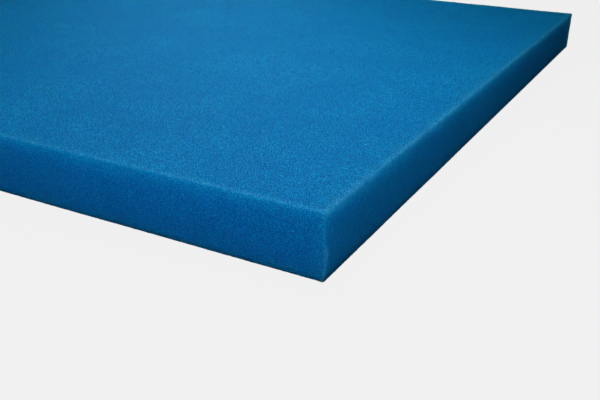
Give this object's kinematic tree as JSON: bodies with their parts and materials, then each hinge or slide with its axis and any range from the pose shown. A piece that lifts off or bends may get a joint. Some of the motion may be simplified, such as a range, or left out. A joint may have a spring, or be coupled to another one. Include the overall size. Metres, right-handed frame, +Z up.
{
  "type": "filter foam sheet",
  "caption": "Flat square sheet of blue open-cell filter foam that strains water in a pond or aquarium filter.",
  "frame": {"origin": "centre of the underside", "axes": "+Z up through the thickness, +X and +Y along the two equal sides"},
  "size_m": [0.5, 0.5, 0.03],
  "materials": {
    "blue_foam": "matte"
  },
  "bodies": {
    "root": {"foam_sheet": "blue_foam"}
  },
  "joints": []
}
